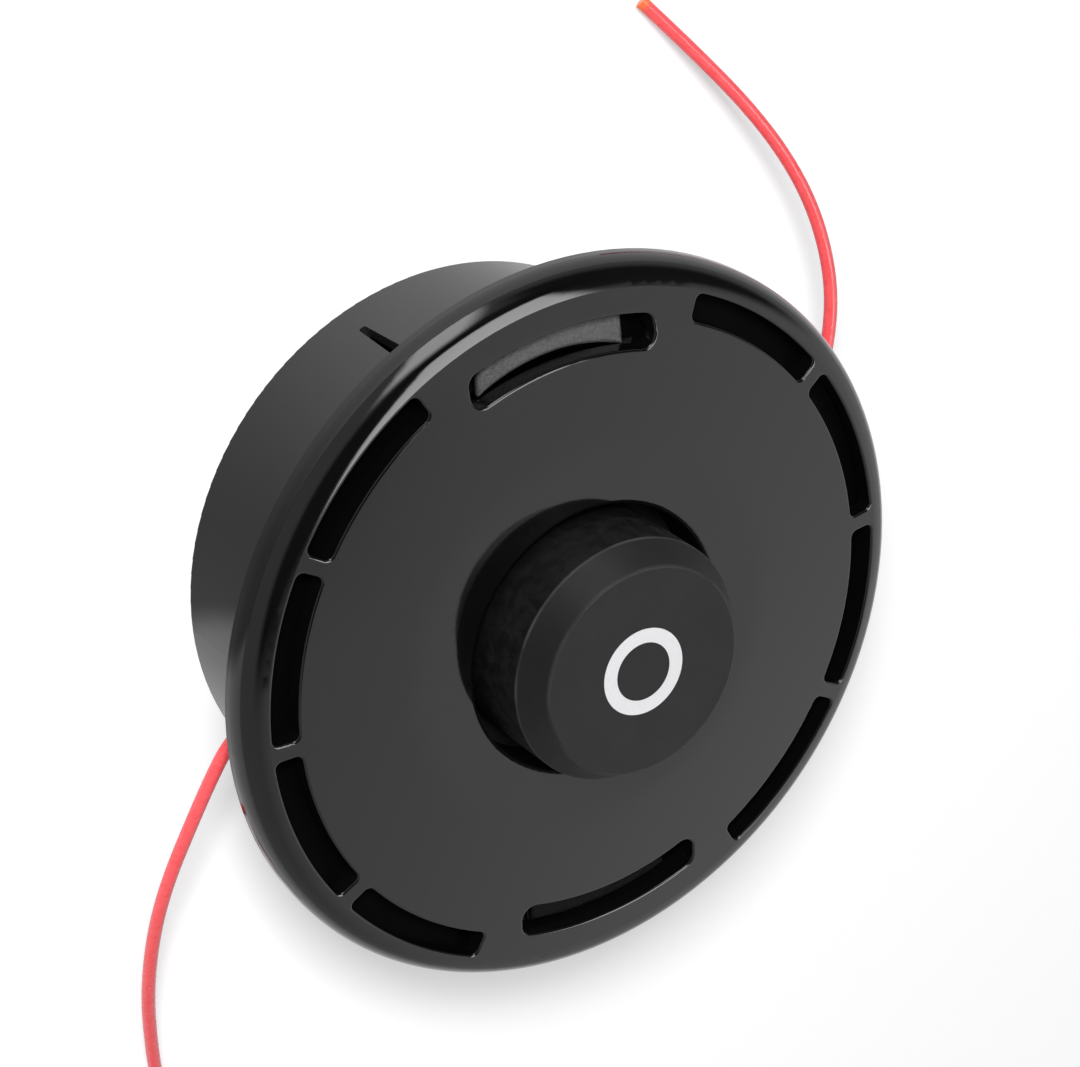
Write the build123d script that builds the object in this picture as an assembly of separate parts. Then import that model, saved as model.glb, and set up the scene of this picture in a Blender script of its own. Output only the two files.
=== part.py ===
from build123d import *
import math
import os

# Bump-feed trimmer head. A drum, screwed to the machine's shaft at its back, holds a spool of
# cutting line. A slotted cover, held by two latch fingers, closes the drum, and the bump knob on
# the spool stands out of its hole. A tap on the knob pushes the spool back against a spring, from
# the cover's stops to the drum's stops, and so lets out a measure of line.
#
# Millimetres. The origin is the centre of the mounting face at the back, +Z runs along the shaft
# towards the knob, and the latches lie on +Y and -Y.

# Drum
drum_radius = 50.3
drum_wall = 2.4
drum_back = 3.0
drum_back_round = 0.4
brim_overlap = 1.0
brim_thickness = 2.0
brim_bottom = 38.0
back_pocket_depth = 1.2
back_pocket_inner_rib = 4.0
back_pocket_outer_rib = 5.9
back_pocket_count = 8
back_pocket_corner = 2.0
back_rib_angle = 6.0

# Shaft seat in the middle of the drum
thread_minor_radius = 4.33
nut_across_flats = 17.0
nut_height = 17.5
nut_recess = 0.4
nut_chamfer = 0.8
boss_wall = 3.2
boss_top_wall = 4.0
post_radius = 7.0

# Cover
cover_overhang = 14.7
cover_plate = 3.0
crown_radius = 465.0
crown_rise = 8.8
rim_round = 5.0
rim_edge = 0.5
hole_gap = 2.45
hole_edge_round = 0.7
collar_wall = 2.5

# Vent slots, in two rows either side of the latches
slot_width = 4.6
slot_half_angle = 14.6
slot_pitch = 32.25
slots_per_side = 4
slot_corner = 1.2
slot_edge_round = 0.45

# Latches
latch_step = 0.4
neck_thickness = 2.4
finger_half_width = 13.3
pad_half_width = 14.0
pad_thickness = 2.0
pad_round = 0.9
pad_overlap = 2.0
pad_scoop_radius = 32.0
window_end_gap = 3.75
window_outer_gap = 0.45
window_corner = 2.2
ledge_thickness = 1.7
slit_offset = 2.0
slit_end = 7.3
slit_end_width = 1.3
slit_round_share = 0.4
slit_mouth_width = 4.2
jog_height = 4.5
jog_setback = 1.0

# Spool
flange_gap = 1.0
flange_thickness = 2.0
divider_thickness = 1.5
front_flange_thickness = 2.4
compartment_width = 8.0
notch_width = 3.0
notch_depth = 3.5
notch_angle = 45.0
core_wall = 2.6
web_depth = 7.0
guide_length = 13.0
nose_radius = 14.0
nose_wall = 3.0
nose_length = 16.0
nose_tip_gap = 2.0
bump_travel = 7.0

# Stops of the feed: lugs on both faces of the spool, posts in the cover and in the drum
stop_count = 3
lug_gap = 1.45
lug_width = 6.0
lug_half_angle = 6.0
lug_height = 4.5
lug_angle = 7.5
stop_play = 0.5
stop_root = 0.5

# Knob
knob_radius = 21.6
knob_rise = 13.27
knob_chamfer_width = 3.13
knob_chamfer_height = 5.23
knob_wall = 2.4
knob_edge_round = 0.5
sleeve_wall = 2.6

# Spring and its washer
wire_diameter = 1.6
spring_gap = 0.9
spring_turns = 6.0
washer_thickness = 1.2

# Line and its eyelets
line_diameter = 2.4
line_arc_share = 0.45
winding_depth = 9.5
eyelet_angle = 5.0
eyelet_height = 25.0
eyelet_bore = 1.6
eyelet_wall = 1.6
eyelet_mouth = 3.2
eyelet_flange_radius = 5.2
eyelet_flange = 1.3
eyelet_mouth_round = 9.6
eyelet_boss_radius = 6.6
eyelet_boss_height = 1.5
eyelet_boss_depth = 1.4

# Clearances
running_gap = 0.05
seat_gap = 0.3
loose_gap = 0.5

# Routes of the two line tails, from inside the eyelet to the cut end
route_right = [
    (46.8, 4.1, 25.0),
    (53.0, 4.64, 25.0),
    (58.4, 7.9, 24.8),
    (62.7, 14.6, 24.0),
    (66.6, 22.3, 22.6),
    (69.9, 30.5, 20.4),
    (72.2, 39.5, 17.6),
    (73.4, 49.6, 14.4),
    (73.5, 60.5, 10.8),
    (72.5, 72.0, 7.2),
    (71.2, 83.0, 4.2),
    (70.4, 92.6, 2.2),
]
route_left = [
    (-46.8, -4.1, 25.0),
    (-53.0, -4.64, 25.0),
    (-58.7, -8.1, 25.0),
    (-63.8, -15.0, 24.9),
    (-67.5, -23.3, 24.4),
    (-69.8, -31.8, 23.1),
    (-70.3, -40.4, 21.0),
    (-69.0, -49.4, 18.6),
    (-65.8, -58.4, 15.8),
    (-61.2, -67.2, 12.3),
    (-55.8, -75.6, 7.9),
    (-51.2, -82.4, 4.0),
    (-48.4, -86.4, 1.7),
]

# Sizes that follow from the ones above
drum_inner = drum_radius - drum_wall
cover_radius = drum_radius + cover_overhang
slot_outer = cover_radius - rim_round
slot_inner = slot_outer - slot_width
brim_radius = slot_outer + brim_overlap
brim_top = brim_bottom + brim_thickness
crown_top = brim_top + crown_rise
shoulder_radius = slot_outer / (1 - rim_round / crown_radius)
hole_radius = knob_radius + hole_gap
collar_outer = hole_radius + collar_wall
seat_ring_inner = slot_outer + loose_gap
nut_top = nut_recess + nut_height
nut_corner_radius = nut_across_flats / math.sqrt(3)
boss_radius = nut_corner_radius + boss_wall
boss_top = nut_top + boss_top_wall
back_pocket_inner = boss_radius + back_pocket_inner_rib
back_pocket_outer = drum_radius - drum_back_round - back_pocket_outer_rib
pad_inner = drum_radius + latch_step
neck_outer = pad_inner + neck_thickness
ledge_inner = neck_outer + loose_gap
ledge_bottom = brim_bottom
ledge_top = ledge_bottom + ledge_thickness
pad_bottom = ledge_top + seat_gap
pad_top = pad_bottom + pad_thickness
pad_outer = ledge_inner + pad_overlap
window_inner = pad_inner - loose_gap
window_outer = pad_outer + window_outer_gap
window_half_width = pad_half_width + window_end_gap
brim_gap_half_width = pad_half_width + loose_gap
slit_angle = math.degrees(math.asin((finger_half_width + slit_offset) / drum_radius))
jog_top = brim_bottom - jog_setback
eyelet_boss_face = drum_radius + eyelet_boss_height
eyelet_boss_inner = drum_inner - eyelet_boss_depth
flange_front = brim_bottom
front_flange_back = flange_front - front_flange_thickness
divider_front = front_flange_back - compartment_width
divider_back = divider_front - divider_thickness
rear_flange_front = divider_back - compartment_width
rear_flange_back = rear_flange_front - flange_thickness
flange_radius = eyelet_boss_inner - flange_gap
winding_radius = flange_radius - winding_depth
core_inner = boss_radius + wire_diameter + 2 * spring_gap
core_radius = core_inner + core_wall
web_back = flange_front - web_depth
nose_top = flange_front + nose_length
lug_inner = collar_outer + lug_gap
lug_outer = lug_inner + lug_width
drum_post_top = rear_flange_back - bump_travel - loose_gap
cover_post_angle = lug_angle + 2 * lug_half_angle + stop_play
feed_step = 180.0 / stop_count
drum_post_angle = cover_post_angle + feed_step
washer_front = web_back - 2 * running_gap
washer_back = washer_front - washer_thickness
washer_outer = core_inner - loose_gap
knob_face = crown_top + knob_rise
knob_shoulder = knob_face - knob_chamfer_height
knob_face_radius = knob_radius - knob_chamfer_width
sleeve_radius = nose_radius + running_gap
knob_roof = nose_top + nose_tip_gap
post_top = knob_roof - bump_travel - loose_gap
latch_angles = (90, 270)
eyelet_angles = {"right": eyelet_angle, "left": eyelet_angle + 180}


def crown_height(radius, depth=0.0):
    """Height of the cover's domed face, or of the surface that lies depth below it."""
    return crown_top - crown_radius + math.sqrt((crown_radius - depth) ** 2 - radius**2)


def turned(*lines):
    """A body of revolution about Z from lines drawn as (radius, height)."""
    edges = [edge for line in lines for edge in line.edges()]
    return revolve(Plane.XZ * make_face(edges), Axis.Z)


def turned_polygon(*points):
    return turned(Polyline(*points, close=True))


def sector(inner, outer, centre, half_angle, low, high, corner=0.0):
    """A piece of a ring, between two radii, half_angle degrees either side of centre."""
    arcs = [CenterArc((0, 0), radius, centre - half_angle, 2 * half_angle) for radius in (inner, outer)]
    sides = [Line(arcs[0] @ end, arcs[1] @ end) for end in (0, 1)]
    face = make_face([line.edge() for line in arcs + sides])
    if corner:
        face = fillet(face.vertices(), corner)
    return Pos(0, 0, low) * extrude(face, high - low, dir=(0, 0, 1))


def straight_sector(inner, outer, centre, half_width, low, high, corner=0.0, inner_offset=0.0):
    """A piece of a ring with parallel sides, half_width either side of centre.

    With inner_offset the inner arc's own centre lies that far out from the axis.
    """
    ring = Circle(outer) - Pos(inner_offset, 0) * Circle(inner)
    face = ring & (Pos(outer, 0) * Rectangle(outer, 2 * half_width))
    if corner:
        face = fillet(face.vertices(), corner)
    return Rot(0, 0, centre) * (Pos(0, 0, low) * extrude(face, high - low, dir=(0, 0, 1)))


def stops(inner, outer, first, low, high):
    """The ring of feed stops, evenly spaced from the first angle."""
    angles = [first + 360 * k / stop_count for k in range(stop_count)]
    return [sector(inner, outer, angle, lug_half_angle, low, high) for angle in angles]


def radial(angle, height):
    """A frame whose Z axis points out of the drum at the given angle and height."""
    out = (math.cos(math.radians(angle)), math.sin(math.radians(angle)), 0)
    return Plane(origin=(0, 0, height), x_dir=(0, 0, 1), z_dir=out)


def latch_finger(angle):
    """The tip of a latch finger: a sloped jog out of the drum's wall, a neck and the press pad."""
    jog_bottom = jog_top - jog_height
    slope_top = jog_bottom + neck_outer - drum_radius
    slope = turned_polygon(
        (drum_inner, jog_bottom),
        (drum_radius, jog_bottom),
        (neck_outer, slope_top),
        (neck_outer, jog_top),
        (drum_inner, jog_top),
    )
    jog = slope & straight_sector(drum_inner, neck_outer, angle, finger_half_width, jog_bottom, jog_top)
    neck = straight_sector(pad_inner, neck_outer, angle, finger_half_width, slope_top, pad_bottom)
    pad = straight_sector(
        pad_scoop_radius, pad_outer, angle, pad_half_width, pad_bottom, pad_top,
        inner_offset=pad_inner - pad_scoop_radius,
    )
    return jog + neck + fillet(pad.edges().group_by(Axis.Z)[-1], pad_round)


def slit(angle):
    """The tapered slit beside a latch finger, cut through the drum's wall."""
    height = brim_top + loose_gap - slit_end
    outline = Polyline(
        (0, -slit_end_width / 2),
        (height, -slit_mouth_width / 2),
        (height, slit_mouth_width / 2),
        (0, slit_end_width / 2),
        close=True,
    )
    blade = make_face(outline)
    blade = fillet(blade.vertices().group_by(Axis.X)[0], slit_end_width * slit_round_share)
    start = drum_inner - drum_wall
    frame = radial(angle, slit_end)
    return extrude(frame * Pos(0, 0, start) * blade, drum_radius + running_gap - start)


def drum_housing():
    shell = turned_polygon(
        (0, 0),
        (drum_radius, 0),
        (drum_radius, brim_bottom),
        (brim_radius, brim_bottom),
        (brim_radius, brim_top),
        (drum_inner, brim_top),
        (drum_inner, drum_back),
        (boss_radius, drum_back),
        (boss_radius, boss_top),
        (post_radius, boss_top),
        (post_radius, post_top),
        (0, post_top),
    )
    back_edge = shell.edges().filter_by(GeomType.CIRCLE).group_by(Axis.Z)[0].sort_by(SortBy.RADIUS)[-1]
    shell = fillet(back_edge, drum_back_round)
    shell += stops(lug_inner, lug_outer, drum_post_angle, drum_back - stop_root, drum_post_top)
    pocket_pitch = 360 / back_pocket_count
    for k in range(back_pocket_count):
        half_angle = (pocket_pitch - back_rib_angle) / 2
        shell -= sector(
            back_pocket_inner, back_pocket_outer, k * pocket_pitch, half_angle, 0, back_pocket_depth,
            back_pocket_corner,
        )
    for angle in eyelet_angles.values():
        frame = radial(angle, eyelet_height)
        depth = eyelet_boss_face - eyelet_boss_inner
        seat = frame * Pos(0, 0, eyelet_boss_inner)
        shell += seat * Cylinder(eyelet_boss_radius, depth, align=(Align.CENTER, Align.CENTER, Align.MIN))
        shell -= seat * Cylinder(
            eyelet_bore + eyelet_wall, depth, align=(Align.CENTER, Align.CENTER, Align.MIN)
        )
    for angle in latch_angles:
        shell -= straight_sector(
            drum_radius, brim_radius + loose_gap, angle, brim_gap_half_width, brim_bottom, brim_top
        )
        shell -= sector(drum_inner, drum_radius, angle, slit_angle, jog_top, brim_top)
        for side in (-1, 1):
            shell -= slit(angle + side * slit_angle)
        shell += latch_finger(angle)
    nut_space = extrude(RegularPolygon(nut_across_flats / 2 + running_gap, 6, major_radius=False), nut_top)
    return shell - nut_space


def edges_on_face(disc, inner, outer):
    """The edges that lie on the cover's domed face, between two radii."""
    edges = []
    for edge in disc.edges():
        points = [edge @ share for share in (0, 0.5, 1)]
        radii = [math.hypot(point.X, point.Y) for point in points]
        off_face = max(abs(point.Z - crown_height(radius)) for point, radius in zip(points, radii))
        between = inner - running_gap < min(radii) and max(radii) < outer + running_gap
        if between and off_face < running_gap:
            edges.append(edge)
    return edges


def base_cover():
    plate_bottom = [crown_height(radius, cover_plate) for radius in (seat_ring_inner, collar_outer)]
    crown_mid = (hole_radius + shoulder_radius) / 2
    under_mid = (seat_ring_inner + collar_outer) / 2
    lean = math.asin(shoulder_radius / crown_radius)
    round_centre = (
        shoulder_radius - rim_round * math.sin(lean),
        crown_height(shoulder_radius) - rim_round * math.cos(lean),
    )
    half_way = (math.pi / 2 - lean) / 2
    skirt_inner = brim_radius + seat_gap
    disc = turned(
        ThreePointArc(
            (hole_radius, crown_height(hole_radius)),
            (crown_mid, crown_height(crown_mid)),
            (shoulder_radius, crown_height(shoulder_radius)),
        ),
        ThreePointArc(
            (shoulder_radius, crown_height(shoulder_radius)),
            (
                round_centre[0] + rim_round * math.cos(half_way),
                round_centre[1] + rim_round * math.sin(half_way),
            ),
            (cover_radius, round_centre[1]),
        ),
        Polyline(
            (cover_radius, round_centre[1]),
            (cover_radius, brim_bottom + rim_edge),
            (cover_radius - rim_edge, brim_bottom),
            (skirt_inner, brim_bottom),
            (skirt_inner, brim_top),
            (seat_ring_inner, brim_top),
            (seat_ring_inner, plate_bottom[0]),
        ),
        ThreePointArc(
            (seat_ring_inner, plate_bottom[0]),
            (under_mid, crown_height(under_mid, cover_plate)),
            (collar_outer, plate_bottom[1]),
        ),
        Polyline(
            (collar_outer, plate_bottom[1]),
            (collar_outer, flange_front + seat_gap),
            (hole_radius, flange_front + seat_gap),
            (hole_radius, crown_height(hole_radius)),
        ),
    )
    frame_outer = slot_inner + cover_plate
    frame_top = crown_height(frame_outer, cover_plate / 2)
    frame_side = window_half_width + ledge_thickness
    for angle in latch_angles:
        disc += straight_sector(
            ledge_inner, frame_outer, angle, frame_side, brim_top + seat_gap, frame_top
        )
        disc += straight_sector(ledge_inner, frame_outer, angle, pad_half_width, ledge_bottom, frame_top)
        disc -= straight_sector(
            window_inner, window_outer, angle, window_half_width, ledge_top, crown_top, window_corner
        )
    for side in (0, 180):
        for k in range(slots_per_side):
            centre = side + (k - (slots_per_side - 1) / 2) * slot_pitch
            disc -= sector(
                slot_inner, slot_outer, centre, slot_half_angle, brim_top, crown_top, slot_corner
            )
    disc = fillet(edges_on_face(disc, window_inner, slot_outer), slot_edge_round)
    disc = fillet(edges_on_face(disc, hole_radius, hole_radius), hole_edge_round)
    post_roof = crown_height(lug_outer, cover_plate / 2)
    disc += stops(lug_inner, lug_outer, cover_post_angle, flange_front + 2 * loose_gap, post_roof)
    return disc


def line_spool():
    spool = turned_polygon(
        (core_inner, rear_flange_back),
        (flange_radius, rear_flange_back),
        (flange_radius, rear_flange_front),
        (core_radius, rear_flange_front),
        (core_radius, divider_back),
        (flange_radius, divider_back),
        (flange_radius, divider_front),
        (core_radius, divider_front),
        (core_radius, front_flange_back),
        (flange_radius, front_flange_back),
        (flange_radius, flange_front),
        (nose_radius, flange_front),
        (nose_radius, nose_top),
        (nose_radius - nose_wall, nose_top),
        (nose_radius - nose_wall, web_back + guide_length),
        (post_radius + running_gap, web_back + guide_length),
        (post_radius + running_gap, web_back),
        (core_inner, web_back),
    )
    notch_run = flange_front - divider_back
    for angle in eyelet_angles.values():
        notch = Pos(flange_radius, 0) * SlotCenterToCenter(2 * notch_depth, notch_width)
        spool -= Rot(0, 0, angle + notch_angle) * extrude(Pos(0, 0, divider_back) * notch, notch_run)
    lug_bottom = rear_flange_back - lug_height
    lug_top = flange_front + lug_height
    spool += stops(lug_inner, lug_outer, lug_angle, flange_front - stop_root, lug_top)
    spool += stops(lug_inner, lug_outer, lug_angle, lug_bottom, rear_flange_back + stop_root)
    return spool


def bump_knob():
    sleeve_outer = sleeve_radius + sleeve_wall
    shell_inner = knob_radius - knob_wall
    knob = turned_polygon(
        (shell_inner, flange_front),
        (knob_radius, flange_front),
        (knob_radius, knob_shoulder),
        (knob_face_radius, knob_face),
        (0, knob_face),
        (0, knob_roof),
        (sleeve_radius, knob_roof),
        (sleeve_radius, flange_front + loose_gap),
        (sleeve_outer, flange_front + loose_gap),
        (sleeve_outer, knob_roof),
        (shell_inner, knob_roof),
    )
    rims = [
        edge
        for edge in knob.edges().filter_by(GeomType.CIRCLE)
        if edge.radius >= knob_face_radius and edge.center().Z >= knob_shoulder
    ]
    return fillet(rims, knob_edge_round)


def return_spring():
    radius = (boss_radius + core_inner) / 2
    low = drum_back + wire_diameter / 2 + running_gap
    height = washer_back - wire_diameter / 2 - running_gap - low
    path = Pos(0, 0, low) * Helix(height / spring_turns, height, radius)
    section = Plane(origin=path @ 0, z_dir=path % 0) * Circle(wire_diameter / 2)
    return sweep(section, path)


def thrust_washer():
    return turned_polygon(
        (post_radius + seat_gap, washer_back),
        (washer_outer, washer_back),
        (washer_outer, washer_front),
        (post_radius + seat_gap, washer_front),
    )


def arbor_nut():
    hexagon = RegularPolygon(nut_across_flats / 2, 6, major_radius=False)
    nut = Pos(0, 0, nut_recess) * extrude(hexagon, nut_height)
    cone = turned_polygon(
        (thread_minor_radius, nut_recess),
        (nut_corner_radius - nut_chamfer, nut_recess),
        (nut_corner_radius + nut_chamfer, nut_recess + nut_chamfer),
        (nut_corner_radius + nut_chamfer, nut_top),
        (thread_minor_radius, nut_top),
    )
    return nut & cone


def line_eyelet(angle):
    inner = eyelet_boss_inner
    face = eyelet_boss_face
    tube = eyelet_bore + eyelet_wall
    outline = [
        Polyline(
            (eyelet_bore, face - eyelet_mouth),
            (eyelet_bore, inner),
            (tube, inner),
            (tube, face),
            (eyelet_flange_radius, face),
            (eyelet_flange_radius, face + eyelet_flange / 2),
            (eyelet_flange_radius - eyelet_flange / 2, face + eyelet_flange),
            (eyelet_mouth, face + eyelet_flange),
        ),
        RadiusArc(
            (eyelet_mouth, face + eyelet_flange),
            (eyelet_bore, face - eyelet_mouth),
            -eyelet_mouth_round,
        ),
    ]
    return radial(angle, eyelet_height).location * turned(*outline)


def line_winding(back):
    """The line wound in one compartment of the spool, with its outer turns showing."""
    turns = int(compartment_width / line_diameter)
    low = back + (compartment_width - turns * line_diameter) / 2
    rounds = [
        ThreePointArc(
            (winding_radius, low + k * line_diameter),
            (winding_radius + line_diameter / 2, low + (k + 0.5) * line_diameter),
            (winding_radius, low + (k + 1) * line_diameter),
        )
        for k in range(turns)
    ]
    high = low + turns * line_diameter
    inner = core_radius + running_gap
    sides = Polyline((winding_radius, high), (inner, high), (inner, low), (winding_radius, low))
    return turned(*rounds, sides)


def line_tail(route, name):
    """A free end of line: straight runs joined by tangent arcs as large as the runs allow."""
    points = [Vector(*point) for point in route]
    runs = [b - a for a, b in zip(points, points[1:])]
    radii = []
    for before, after in zip(runs, runs[1:]):
        half_turn = math.radians(before.get_angle(after)) / 2
        radii.append(line_arc_share * min(before.length, after.length) / math.tan(half_turn))
    path = FilletPolyline(*points, radius=radii)
    section = Plane(origin=path @ 0, z_dir=path % 0) * Circle(line_diameter / 2)
    tail = sweep(section, path)
    share = tail.volume / (math.pi * line_diameter**2 / 4 * path.length)
    print(name, "length", round(path.length, 1), "volume share", round(share, 4))
    print(name, "radii in diameters", [round(radius / line_diameter, 1) for radius in radii])
    return tail


nodes = {
    "drum_housing": drum_housing(),
    "base_cover": base_cover(),
    "line_spool": line_spool(),
    "bump_knob": bump_knob(),
    "return_spring": return_spring(),
    "thrust_washer": thrust_washer(),
    "arbor_nut": arbor_nut(),
    "line_winding_rear": line_winding(rear_flange_front),
    "line_winding_front": line_winding(divider_front),
    "line_tail_right": line_tail(route_right, "line_tail_right"),
    "line_tail_left": line_tail(route_left, "line_tail_left"),
}
for side, angle in eyelet_angles.items():
    nodes["line_eyelet_" + side] = line_eyelet(angle)

os.makedirs("parts", exist_ok=True)
for name, solid in nodes.items():
    export_step(solid, f"parts/{name}.step")
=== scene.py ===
import math

import bpy
from mathutils import Matrix, Vector


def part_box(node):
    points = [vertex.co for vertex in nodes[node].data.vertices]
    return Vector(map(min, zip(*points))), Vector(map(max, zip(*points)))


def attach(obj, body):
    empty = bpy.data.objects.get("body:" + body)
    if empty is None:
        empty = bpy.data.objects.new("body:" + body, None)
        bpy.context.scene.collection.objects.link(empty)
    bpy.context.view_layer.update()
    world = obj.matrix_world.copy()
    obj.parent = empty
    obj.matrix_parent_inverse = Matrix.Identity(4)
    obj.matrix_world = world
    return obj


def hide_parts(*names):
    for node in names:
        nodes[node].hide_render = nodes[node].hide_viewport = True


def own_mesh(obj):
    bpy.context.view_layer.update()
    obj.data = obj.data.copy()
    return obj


# Looks of a bump-feed trimmer head lying on its back, seen from above and to one side. Metres.

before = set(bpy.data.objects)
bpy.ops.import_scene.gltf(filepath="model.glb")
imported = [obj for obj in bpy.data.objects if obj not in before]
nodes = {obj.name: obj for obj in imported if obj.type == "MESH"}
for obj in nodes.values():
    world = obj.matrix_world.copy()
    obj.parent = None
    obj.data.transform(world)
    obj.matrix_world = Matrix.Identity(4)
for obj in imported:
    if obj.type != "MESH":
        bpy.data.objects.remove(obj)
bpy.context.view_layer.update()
MM = 0.001

# Camera, placed so that the head fills the frame as it does in the photograph
camera_place = Vector((0.30166, -0.33456, 0.53728))
camera_target = Vector((0.00402, -0.01816, 0.04))
camera_roll = math.radians(123.45)
camera_lens = 133.33
camera_sensor = 36.0

# Routes of the two line tails, from inside the eyelet to the cut end
line_diameter = 2.4 * MM
tail_routes = {
    "right": [
        (0.0468, 0.0041, 0.025),
        (0.053, 0.00464, 0.025),
        (0.0584, 0.0079, 0.0248),
        (0.0627, 0.0146, 0.024),
        (0.0666, 0.0223, 0.0226),
        (0.0699, 0.0305, 0.0204),
        (0.0722, 0.0395, 0.0176),
        (0.0734, 0.0496, 0.0144),
        (0.0735, 0.0605, 0.0108),
        (0.0725, 0.072, 0.0072),
        (0.0712, 0.083, 0.0042),
        (0.0704, 0.0926, 0.0022),
    ],
    "left": [
        (-0.0468, -0.0041, 0.025),
        (-0.053, -0.00464, 0.025),
        (-0.0587, -0.0081, 0.025),
        (-0.0638, -0.015, 0.0249),
        (-0.0675, -0.0233, 0.0244),
        (-0.0698, -0.0318, 0.0231),
        (-0.0703, -0.0404, 0.021),
        (-0.069, -0.0494, 0.0186),
        (-0.0658, -0.0584, 0.0158),
        (-0.0612, -0.0672, 0.0123),
        (-0.0558, -0.0756, 0.0079),
        (-0.0512, -0.0824, 0.004),
        (-0.0484, -0.0864, 0.0017),
    ],
}

# Ring printed on the knob's face
ring_inner = 5.2 * MM
ring_outer = 7.75 * MM
ring_thickness = 0.04 * MM
ring_steps = 128

# Curves of the tails: steps between points and steps round the line
tail_steps = 16
tail_round = 6

# Where the finishes change: pairs are where a change starts and where it is complete
hole_wall = (24.1 * MM, 24.5 * MM)  # radius of the cover's hole for the knob
levelled = (30 * MM, 38 * MM)  # radius up to which the cover's face is shaded as level
face_upright = (0.985, 0.99)  # share of the normal along Z on that face
knob_barrel = (56.2 * MM, 56.8 * MM)  # height of the knob's shoulder
knob_top = (61.3 * MM, 61.6 * MM)  # height of the knob's upper edge
# Share of the painted edge highlight that reaches the upper edge of the knob's face
knob_top_highlight = 0.45
knob_edge_radius = 18.47 * MM
knob_shoulder_height = 56.84 * MM
edge_highlight_width = (0.1 * MM, 0.35 * MM)  # how far from an edge the painted highlight reaches
drum_inside = (39.3 * MM, 39.7 * MM)  # height above which the drum is inside the cover
latch_pad = (40.4 * MM, 41.0 * MM)  # height above which only the latch pads are left
pad_lit_to_shaded = (-30 * MM, 30 * MM)  # along Y, from the latch pad painted as lit to the one painted as in shade
cut_end = (0.9 * MM, 2.4 * MM)  # how far from its cut end the line is orange

# Usual range of a noise, and a narrower one for stronger contrast
noise_range = (0.3, 0.7)
noise_middle = (0.35, 0.65)

# Light: the key lamp's azimuth and elevation, its level on a face turned to it, and the even fill
key_angles = (-57, 45.5)
key_distance = 1.0
key_size = 0.18
key_level = 0.95
fill_level = 0.3

# Floor: its greys, its added white, the share of that in reflections, and the side that mirrors dark,
# by azimuth
floor_half = 3.0
floor_drop = 0.05 * MM
floor_greys = (0.72, 0.74)
floor_glow = 0.42
floor_mirrored = 0.8
floor_darkness = 0.7
dark_from = (-85, -20)
dark_to = (-6, 3)

# The room that the gloss mirrors, on a map of the sky in degrees from overhead, +X east and +Y north:
# a glow, dark zones, and soft boxes that leave a plain round place free
room_level = 0.55
glow_level = 0.6
glow_centre = (-47, 33)
glow_core = 8
glow_reach = 75
zone_soft = 9.0
dark_zones = [  # west, east, south and north edge, furthest angle from overhead, darkness
    (-14, 60, -48, 19, 43, 0.97),
    (-34, 8, -52, -24, 56, 0.9),
    (-95, -22, -85, 3, 78, 0.93),
]
softboxes = [  # middle, half width and half height, turn, soft share of the edges, radiance
    ((-18, -4.5), (12.0, 22.5), 5, 0.15, 7.0),
    ((3, -72), (15, 23), -8, 0.4, 5.5),
]
plain_centre = (-28.3, 31.7)
plain_reach = 21.5
plain_soft = 1.0


class Nodes:
    """A node tree, and the few steps that the finishes and the room below are made of."""

    def __init__(self, tree):
        self.tree = tree

    def node(self, kind, inputs=(), **settings):
        made = self.tree.nodes.new(kind)
        for key, value in settings.items():
            setattr(made, key, value)
        for key, value in dict(inputs).items():
            if isinstance(value, bpy.types.NodeSocket):
                self.tree.links.new(value, made.inputs[key])
            else:
                made.inputs[key].default_value = value
        return made

    def maths(self, operation, first, second=0.0):
        return self.node("ShaderNodeMath", {0: first, 1: second}, operation=operation).outputs[0]

    def spread(self, value, low, high, from_low=0.0, from_high=1.0, smooth=False):
        """The value carried from one range to another."""
        inputs = {"Value": value, "From Min": from_low, "From Max": from_high, "To Min": low, "To Max": high}
        kind = "SMOOTHSTEP" if smooth else "LINEAR"
        return self.node("ShaderNodeMapRange", inputs, interpolation_type=kind).outputs["Result"]

    def blend(self, share, first, second):
        """A number between two others."""
        return self.node("ShaderNodeMix", {0: share, 2: first, 3: second}).outputs[0]

    def seen(self, mirrored=1.0):
        """One for what the camera sees, a share of it by way of gloss or glass, and zero for soft light."""
        path = self.node("ShaderNodeLightPath").outputs
        glossy = self.maths("MAXIMUM", path["Is Glossy Ray"], path["Is Transmission Ray"])
        return self.maths("MAXIMUM", path["Is Camera Ray"], self.maths("MULTIPLY", glossy, mirrored))


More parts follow.
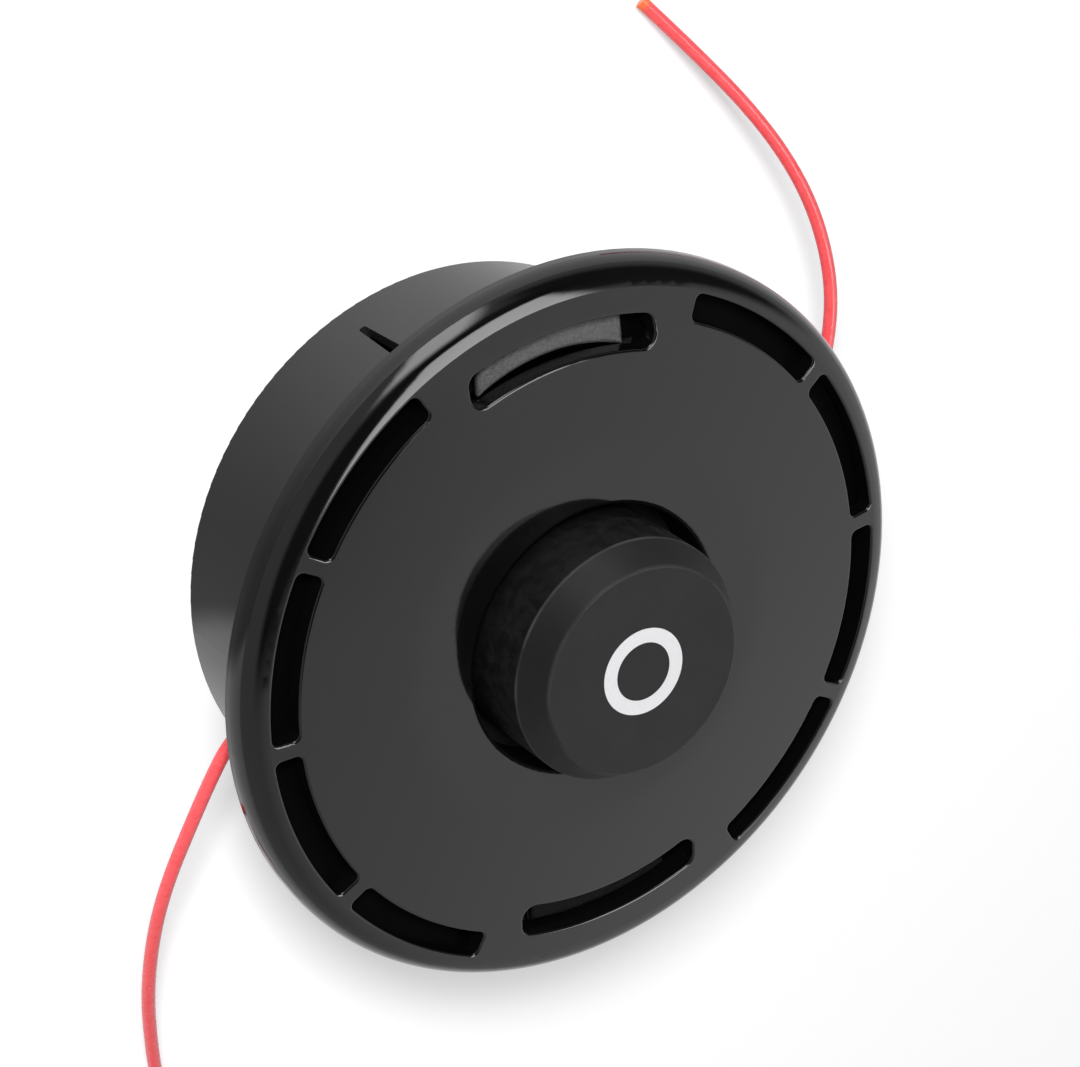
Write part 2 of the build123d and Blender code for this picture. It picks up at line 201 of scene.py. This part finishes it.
class Finish(Nodes):
    """A material and the patterns that it is made of."""

    def __init__(self, name, **constants):
        self.material = bpy.data.materials.new(name)
        self.material.use_nodes = True
        super().__init__(self.material.node_tree)
        self.shader = self.tree.nodes["Principled BSDF"]
        self.coordinates = self.tree.nodes.new("ShaderNodeTexCoord").outputs["Object"]
        for socket, value in constants.items():
            self.shader.inputs[socket.replace("_", " ")].default_value = value

    def noise(self, size, detail=3.0, roughness=0.5, stretch=(1, 1, 1)):
        """Noise whose lumps are about size metres across."""
        moved = self.node("ShaderNodeMapping", {"Vector": self.coordinates, "Scale": stretch})
        inputs = {"Vector": moved.outputs[0], "Scale": 1 / size, "Detail": detail, "Roughness": roughness}
        return self.node("ShaderNodeTexNoise", inputs).outputs["Fac"]

    def along(self, axis):
        return self.node("ShaderNodeSeparateXYZ", {"Vector": self.coordinates}).outputs[axis]

    def radius(self):
        """Distance from the head's axis."""
        level = self.node("ShaderNodeVectorMath", {0: self.coordinates, 1: (1, 1, 0)}, operation="MULTIPLY")
        return self.node("ShaderNodeVectorMath", {0: level.outputs[0]}, operation="LENGTH").outputs["Value"]

    def near(self, value, place, full, none):
        """One where the value is within full of a place, fading to zero where it is none away."""
        away = self.maths("ABSOLUTE", self.maths("SUBTRACT", value, place))
        return self.spread(away, 1.0, 0.0, full, none)

    def mix(self, share, first, second):
        """A colour between two others."""
        return self.node("ShaderNodeMix", {0: share, 6: first, 7: second}, data_type="RGBA").outputs[2]

    def bump(self, height, distance, over=None):
        inputs = {"Height": height, "Distance": distance, "Strength": 1.0}
        if over is not None:
            inputs["Normal"] = over
        return self.node("ShaderNodeBump", inputs).outputs["Normal"]

    def set(self, socket, value):
        self.tree.links.new(value, self.shader.inputs[socket])


def grey(level):
    return (level, level, level * 1.02, 1)


def cover_plastic():
    """Polished near-black nylon with faint flow marks, dull in the knob's hole and level round it."""
    finish = Finish("cover_plastic", IOR=1.5)
    flow = finish.noise(14 * MM, detail=4)
    grain = finish.noise(0.35 * MM, detail=2)
    hole = finish.spread(finish.radius(), 1.0, 0.0, *hole_wall)
    finish.set("Base Color", finish.mix(flow, grey(0.002), grey(0.004)))
    finish.set("Roughness", finish.blend(hole, finish.spread(flow, 0.05, 0.09, *noise_range), 0.8))
    finish.set("Specular IOR Level", finish.spread(hole, 0.5, 0.1))
    normal = finish.node("ShaderNodeNewGeometry").outputs["Normal"]
    upright = finish.node("ShaderNodeSeparateXYZ", {0: normal}).outputs["Z"]
    on_face = finish.spread(upright, 0.0, 1.0, *face_upright)
    round_hole = finish.spread(finish.radius(), 1.0, 0.0, *levelled, smooth=True)
    share = finish.maths("MULTIPLY", on_face, round_hole)
    level = finish.node("ShaderNodeMix", {0: share, 4: normal, 5: (0, 0, 1)}, data_type="VECTOR")
    finish.set("Normal", finish.bump(grain, 0.002 * MM, over=level.outputs[1]))
    return finish.material


def knob_plastic():
    """A duller black nylon, with a mottled barrel below the shoulder and a painted highlight along its
    edges.
    """
    finish = Finish("knob_plastic", Specular_IOR_Level=0.28)
    barrel = finish.spread(finish.along("Z"), 1.0, 0.0, *knob_barrel, smooth=True)
    mottle = finish.noise(2.4 * MM, detail=5, roughness=0.6)
    flow = finish.noise(10 * MM)
    grain = finish.noise(0.35 * MM, detail=2)
    smooth_face = finish.spread(flow, 0.52, 0.6, *noise_range)
    dull_barrel = finish.spread(mottle, 0.4, 0.7, *noise_middle)
    face_edge = finish.near(finish.radius(), knob_edge_radius, *edge_highlight_width)
    up_there = finish.spread(finish.along("Z"), 0.0, knob_top_highlight, *knob_top)
    shoulder = finish.near(finish.along("Z"), knob_shoulder_height, *edge_highlight_width)
    edges = finish.maths("MAXIMUM", shoulder, finish.maths("MULTIPLY", face_edge, up_there))
    # Painted highlight: the shoulder and the face's upper edge are painted paler, standing in for light
    # caught on those edges
    edge_highlight = finish.maths("MULTIPLY", edges, finish.spread(flow, 0.2, 1.0, *noise_middle))
    body = finish.mix(mottle, grey(0.003), grey(0.008))
    finish.set("Base Color", finish.mix(edge_highlight, body, grey(0.05)))
    finish.set("Roughness", finish.blend(barrel, smooth_face, dull_barrel))
    barrel_bump = finish.bump(finish.maths("MULTIPLY", mottle, barrel), 0.015 * MM)
    finish.set("Normal", finish.bump(grain, 0.003 * MM, over=barrel_bump))
    return finish.material


def drum_plastic():
    """Satin black nylon, duller inside the cover with painted shade there, and grained latch pads with a
    painted sheen, the far one painted black as painted shade.
    """
    finish = Finish("drum_plastic", IOR=1.5)
    inside = finish.spread(finish.along("Z"), 0.0, 1.0, *drum_inside)
    pad = finish.spread(finish.along("Z"), 0.0, 1.0, *latch_pad)
    flow = finish.noise(18 * MM, detail=4)
    grain = finish.noise(0.3 * MM, detail=2)
    grip = finish.noise(0.45 * MM, detail=6, roughness=0.7)
    satin = finish.spread(flow, 0.14, 0.21, *noise_range)
    dull = finish.spread(flow, 0.75, 0.9, *noise_range)
    rough_pad = finish.spread(grip, 0.35, 0.55, *noise_range)
    body = finish.mix(flow, grey(0.014), grey(0.02))
    # Painted shade: inside the cover the drum is painted near black, standing in for the shade seen through
    # the slots and windows
    body = finish.mix(inside, body, grey(0.002))
    # Painted sheen: the latch pads' base colour is lifted to a grained grey, standing in for light they
    # catch
    pad_painted_light = finish.mix(finish.spread(grip, 0.0, 1.0, *noise_middle), grey(0.06), grey(0.15))
    pad_lit_side = finish.spread(finish.along("Y"), 1.0, 0.0, *pad_lit_to_shaded)
    # Painted shade: the pad towards +Y is painted near black and given less gloss, as if in shadow
    pad_painted_light = finish.mix(pad_lit_side, grey(0.004), pad_painted_light)
    finish.set("Base Color", finish.mix(pad, body, pad_painted_light))
    finish.set("Roughness", finish.blend(pad, finish.blend(inside, satin, dull), rough_pad))
    gloss = finish.spread(pad_lit_side, 0.12, 0.5)
    finish.set("Specular IOR Level", finish.blend(pad, finish.spread(inside, 0.5, 0.04), gloss))
    pad_bump = finish.bump(finish.maths("MULTIPLY", grip, pad), 0.2 * MM)
    finish.set("Normal", finish.bump(grain, 0.004 * MM, over=pad_bump))
    return finish.material


def spool_plastic():
    """Dull black nylon of the inner pieces."""
    finish = Finish("spool_plastic", Specular_IOR_Level=0.1)
    flow = finish.noise(12 * MM, detail=4)
    grain = finish.noise(0.3 * MM, detail=2)
    finish.set("Base Color", finish.mix(flow, grey(0.004), grey(0.009)))
    finish.set("Roughness", finish.spread(flow, 0.65, 0.8, *noise_range))
    finish.set("Normal", finish.bump(grain, 0.006 * MM))
    return finish.material


def turned_metal(name, dark, light, rough_low, rough_high):
    """Bare metal with fine marks of its making and a little dulling."""
    finish = Finish(name, Metallic=1.0)
    marks = finish.noise(0.25 * MM, detail=4, stretch=(0.1, 0.1, 1.0))
    dull = finish.noise(3 * MM, detail=5, roughness=0.65)
    finish.set("Base Color", finish.mix(dull, grey(dark), grey(light)))
    finish.set("Roughness", finish.spread(dull, rough_low, rough_high, *noise_range))
    finish.set("Normal", finish.bump(marks, 0.006 * MM))
    return finish.material


def line_nylon(name, tip=None):
    """Translucent coral red line, paler in streaks, with an orange cut end."""
    finish = Finish(
        name,
        IOR=1.53,
        Subsurface_Weight=0.35,
        Subsurface_Scale=1.2 * MM,
        Subsurface_Radius=(1.0, 0.35, 0.3),
    )
    streak = finish.noise(2.2 * MM, detail=3)
    grain = finish.noise(0.2 * MM, detail=2)
    red = finish.mix(streak, (0.93, 0.085, 0.1, 1), (1.0, 0.13, 0.14, 1))
    if tip is not None:
        away = finish.node("ShaderNodeVectorMath", {0: finish.coordinates, 1: tip}, operation="DISTANCE")
        near = finish.spread(away.outputs["Value"], 1.0, 0.0, *cut_end, smooth=True)
        red = finish.mix(near, red, (0.95, 0.2, 0.05, 1))
    finish.set("Base Color", red)
    finish.set("Roughness", finish.spread(streak, 0.22, 0.36, *noise_range))
    finish.set("Normal", finish.bump(grain, 0.008 * MM))
    return finish.material


def ring_paint():
    """White pad-printed ink, slightly uneven."""
    finish = Finish("ring_paint")
    patch = finish.noise(0.9 * MM, detail=5, roughness=0.65)
    finish.set("Base Color", finish.mix(patch, grey(0.72), grey(0.84)))
    finish.set("Roughness", finish.spread(patch, 0.35, 0.55, *noise_range))
    finish.set("Normal", finish.bump(patch, 0.01 * MM))
    return finish.material


def dress(material, *names):
    for name in names:
        slots = nodes[name].data.materials
        slots.clear()
        slots.append(material)


def dress_cad():
    dress(cover_plastic(), "base_cover")
    dress(knob_plastic(), "bump_knob")
    dress(drum_plastic(), "drum_housing")
    dress(spool_plastic(), "line_spool")
    dress(turned_metal("washer_steel", 0.45, 0.6, 0.25, 0.45), "thrust_washer")
    dress(turned_metal("nut_steel", 0.42, 0.58, 0.28, 0.45), "arbor_nut")
    dress(turned_metal("eyelet_metal", 0.6, 0.75, 0.2, 0.35), "line_eyelet_right", "line_eyelet_left")
    dress(line_nylon("cutting_line"), "line_winding_rear", "line_winding_front")


def line_tail(side):
    """One free end of line, a smooth curve along its route."""
    route = tail_routes[side]
    curve = bpy.data.curves.new("cutting_line_" + side, "CURVE")
    curve.dimensions = "3D"
    curve.resolution_u = tail_steps
    curve.bevel_depth = line_diameter / 2
    curve.bevel_resolution = tail_round
    curve.use_fill_caps = True
    spline = curve.splines.new("NURBS")
    spline.points.add(len(route) - 1)
    for point, place in zip(spline.points, route):
        point.co = (*place, 1)
    spline.order_u = 3
    spline.use_endpoint_u = True
    curve.materials.append(line_nylon("cutting_line_" + side, tip=route[-1]))
    tail = bpy.data.objects.new(curve.name, curve)
    bpy.context.scene.collection.objects.link(tail)
    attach(tail, "housing")
    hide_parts("line_tail_" + side)


def spring_coil():
    """The return spring, given its own mesh and carried with the housing; the real one shortens towards its
    seat as the knob is pushed in.
    """
    mesh = nodes["return_spring"].data.copy()
    mesh.materials.clear()
    mesh.materials.append(turned_metal("spring_steel", 0.3, 0.45, 0.25, 0.4))
    coil = bpy.data.objects.new("spring_coil", mesh)
    bpy.context.scene.collection.objects.link(coil)
    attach(coil, "housing")
    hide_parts("return_spring")
    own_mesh(coil)


def knob_ring():
    """The plain white ring printed on the knob's face."""
    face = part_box("bump_knob")[1].z
    profile = [
        (ring_inner, face),
        (ring_inner, face + ring_thickness),
        (ring_outer, face + ring_thickness),
        (ring_outer, face),
    ]
    points = []
    for step in range(ring_steps):
        angle = 2 * math.pi * step / ring_steps
        points += [(r * math.cos(angle), r * math.sin(angle), z) for r, z in profile]
    count = len(profile)
    faces = []
    for step in range(ring_steps):
        here, after = step * count, (step + 1) % ring_steps * count
        for k in range(count):
            n = (k + 1) % count
            faces.append((here + k, after + k, after + n, here + n))
    mesh = bpy.data.meshes.new("knob_ring")
    mesh.from_pydata(points, [], faces)
    mesh.materials.append(ring_paint())
    ring = bpy.data.objects.new("knob_ring", mesh)
    bpy.context.scene.collection.objects.link(ring)
    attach(ring, "spool")


def set_camera():
    data = bpy.data.cameras.new("camera")
    data.lens = camera_lens
    data.sensor_width = camera_sensor
    camera = bpy.data.objects.new("camera", data)
    bpy.context.scene.collection.objects.link(camera)
    aim = (camera_target - camera_place).to_track_quat("-Z", "Y").to_matrix().to_4x4()
    roll = Matrix.Rotation(camera_roll, 4, "Z")
    camera.matrix_world = Matrix.Translation(camera_place) @ aim @ roll
    bpy.context.scene.camera = camera


def from_angles(azimuth, elevation):
    a, e = math.radians(azimuth), math.radians(elevation)
    return Vector((math.cos(a) * math.cos(e), math.sin(a) * math.cos(e), math.sin(e)))


def set_key():
    """The lamp that casts the shadow: soft, and left out of the reflections."""
    light = bpy.data.lights.new("key", "AREA")
    light.size = key_size
    # Power at which a white face that is turned to the lamp shows the key level
    light.energy = key_level * math.pi**2 * key_distance**2
    lamp = bpy.data.objects.new("key", light)
    bpy.context.scene.collection.objects.link(lamp)
    aim = from_angles(*key_angles)
    lamp.location = aim * key_distance
    lamp.rotation_euler = aim.to_track_quat("Z", "Y").to_euler()
    lamp.visible_glossy = False


def set_world():
    """Even white light, and for the gloss a white room with soft boxes and dark zones to mirror."""
    world = bpy.data.worlds.new("room")
    world.use_nodes = True
    room = Nodes(world.node_tree)
    background = room.tree.nodes["Background"]

    # Flat map of the sky: how far from overhead, in degrees, towards +X and towards +Y
    direction = room.tree.nodes.new("ShaderNodeTexCoord").outputs["Generated"]
    parts = room.node("ShaderNodeSeparateXYZ", {0: direction}).outputs
    overhead = room.maths("MULTIPLY", room.maths("ARCCOSINE", parts["Z"]), 180 / math.pi)
    flat = room.node("ShaderNodeVectorMath", {0: direction, 1: (1, 1, 0)}, operation="MULTIPLY")
    unit = room.node("ShaderNodeVectorMath", {0: flat.outputs[0]}, operation="NORMALIZE")
    chart = room.node("ShaderNodeVectorMath", {0: unit.outputs[0], "Scale": overhead}, operation="SCALE")
    east, north, _ = room.node("ShaderNodeSeparateXYZ", {0: chart.outputs[0]}).outputs

    away = room.node(
        "ShaderNodeVectorMath", {0: chart.outputs[0], 1: (*glow_centre, 0)}, operation="DISTANCE"
    ).outputs["Value"]
    level = room.spread(away, room_level + glow_level, room_level, glow_core, glow_reach, smooth=True)

    # Dark zones, each a soft rectangle cut off at an angle from overhead
    for west_edge, east_edge, south_edge, north_edge, reach, darkness in dark_zones:
        shade = room.spread(overhead, 1.0, 0.0, reach - zone_soft, reach + zone_soft, smooth=True)
        for value, edge, rising in (
            (east, west_edge, 1), (east, east_edge, 0), (north, south_edge, 1), (north, north_edge, 0)
        ):
            side = room.spread(value, 1 - rising, rising, edge - zone_soft, edge + zone_soft, smooth=True)
            shade = room.maths("MULTIPLY", shade, side)
        level = room.maths("MULTIPLY", level, room.spread(shade, 1.0, 1.0 - darkness))

    # Soft boxes, kept out of the plain place
    from_plain = room.node(
        "ShaderNodeVectorMath", {0: chart.outputs[0], 1: (*plain_centre, 0)}, operation="DISTANCE"
    )
    near, far = plain_reach - plain_soft, plain_reach + plain_soft
    clear = room.spread(from_plain.outputs["Value"], 0.0, 1.0, near, far, smooth=True)
    for middle, half_sizes, turn, soft, radiance in softboxes:
        place = room.node(
            "ShaderNodeMapping",
            {
                "Vector": chart.outputs[0],
                "Location": (*middle, 0),
                "Rotation": (0, 0, math.radians(turn)),
                "Scale": (*half_sizes, 1),
            },
            vector_type="TEXTURE",
        )
        across = room.node("ShaderNodeVectorMath", {0: place.outputs[0]}, operation="ABSOLUTE")
        sides = room.node("ShaderNodeSeparateXYZ", {0: across.outputs[0]}).outputs
        width, height = (room.spread(sides[k], 1.0, 0.0, 1 - soft, 1 + soft, smooth=True) for k in (0, 1))
        shine = room.maths("MULTIPLY", room.maths("MULTIPLY", width, height), radiance)
        level = room.maths("ADD", level, room.maths("MULTIPLY", shine, clear))

    # The room for the camera and the gloss, and the even fill for soft light
    room.tree.links.new(room.blend(room.seen(), fill_level, level), background.inputs["Strength"])
    background.inputs["Color"].default_value = (1, 1, 1, 1)
    bpy.context.scene.world = world


def set_floor():
    """A wide pale floor, white to the camera, that keeps the shadow and mirrors darker on one side."""
    sides = ((-1, -1), (1, -1), (1, 1), (-1, 1))
    corners = [(x * floor_half, y * floor_half, -floor_drop) for x, y in sides]
    mesh = bpy.data.meshes.new("floor")
    mesh.from_pydata(corners, [], [(0, 1, 2, 3)])
    finish = Finish("floor", Roughness=0.9, Specular_IOR_Level=0.1, Emission_Color=(1, 1, 1, 1))
    tone = finish.noise(0.2, detail=2)
    east, north, _ = finish.node("ShaderNodeSeparateXYZ", {0: finish.coordinates}).outputs
    azimuth = finish.maths("MULTIPLY", finish.maths("ARCTAN2", north, east), 180 / math.pi)
    side = finish.spread(azimuth, 0.0, floor_darkness, *dark_from, smooth=True)
    side = finish.maths("MULTIPLY", side, finish.spread(azimuth, 1.0, 0.0, *dark_to, smooth=True))
    dark = finish.maths("MULTIPLY", side, finish.node("ShaderNodeLightPath").outputs["Is Glossy Ray"])
    pale = finish.mix(tone, *map(grey, floor_greys))
    finish.set("Base Color", finish.mix(dark, pale, grey(0.0)))
    glow = finish.maths("MULTIPLY", finish.seen(floor_mirrored), finish.spread(dark, floor_glow, 0.0))
    finish.set("Emission Strength", glow)
    mesh.materials.append(finish.material)
    floor = bpy.data.objects.new("floor", mesh)
    bpy.context.scene.collection.objects.link(floor)


set_camera()
for side in tail_routes:
    line_tail(side)
dress_cad()
spring_coil()
knob_ring()
set_key()
set_world()
set_floor()
bpy.context.scene.view_settings.view_transform = "Standard"
